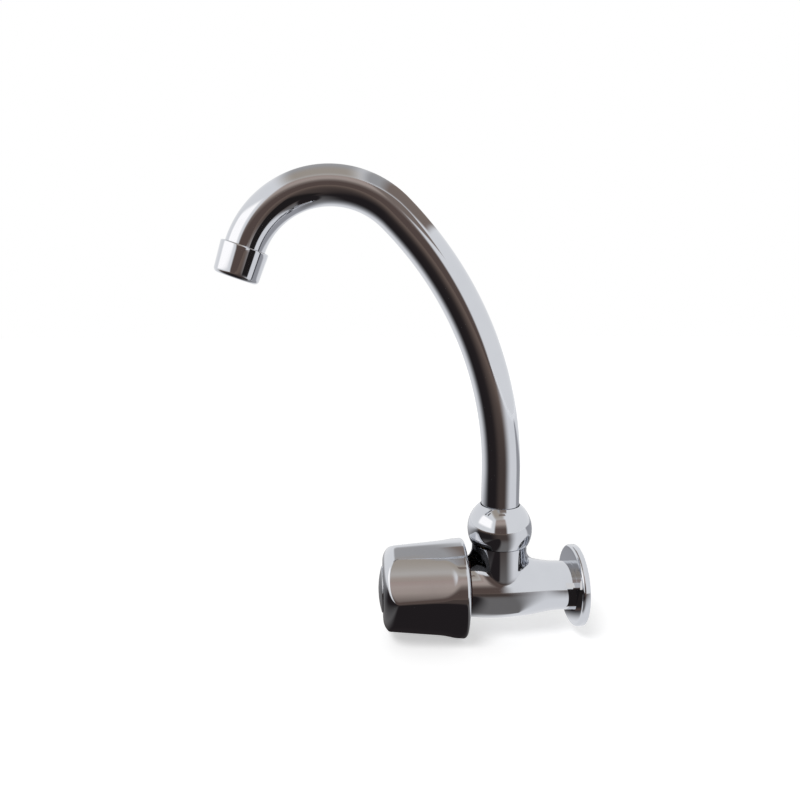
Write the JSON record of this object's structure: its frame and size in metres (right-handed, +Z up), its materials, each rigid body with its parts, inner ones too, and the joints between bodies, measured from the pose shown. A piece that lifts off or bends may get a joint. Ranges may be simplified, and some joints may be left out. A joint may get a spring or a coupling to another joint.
{
  "type": "kitchen tap",
  "caption": "Wall-mounted chrome sink tap with a faceted screw-down knob, a ball nut and a swivelling swan-neck spout with an aerator.",
  "frame": {"origin": "centre of the wall face, where the valve's axis meets the wall", "axes": "+Y into the wall along the inlet, +Z up along the spout's swivel axis, +X across the tap"},
  "size_m": [0.052, 0.1886, 0.2447],
  "materials": {
    "chrome": "polished plating",
    "brass": "turned",
    "steel": "bright",
    "rubber": "moulded",
    "fibre": "pressed fibre",
    "nylon": "moulded nylon"
  },
  "bodies": {
    "tap": {"tap_body": "chrome", "wall_flange": "chrome", "spout_nut": "chrome", "slip_washer": "nylon", "slip_ring": "nylon", "bonnet": "brass", "bonnet_washer": "fibre"},
    "spout": {"spout_tube": "chrome", "spout_bush": "brass", "spout_o_rings": "rubber", "spout_ferrule": "chrome", "aerator_shell": "chrome", "aerator_gasket": "rubber", "aerator_insert": "nylon", "aerator_screens": "steel"},
    "knob": {"knob_shell": "chrome", "knob_bush": "brass", "knob_screw": "steel", "knob_cap": "chrome", "spindle": "brass", "spindle_o_rings": "rubber", "thrust_washer": "nylon", "spindle_clip": "steel"},
    "valve": {"valve_piston": "brass", "valve_washer": "rubber", "washer_screw": "brass"}
  },
  "joints": [
    {"name": "spout_swivel", "type": "hinge", "parent": "tap", "child": "spout", "pos_m": [0, -0.0435, 0.035], "axis": [0, 0, 1], "range_deg": [-100, 100]},
    {"name": "knob_turn", "type": "hinge", "parent": "tap", "child": "knob", "pos_m": [0, -0.085, 0], "axis": [0, -1, 0], "range_deg": [0, 720]},
    {"name": "valve_lift", "type": "slide", "parent": "tap", "child": "valve", "axis": [0, -1, 0], "range_m": [0, 0.00505]}
  ],
  "couplings": [
    {"joint": "valve_lift", "follows": "knob_turn", "m_per_rad": 0.00039789}
  ]
}
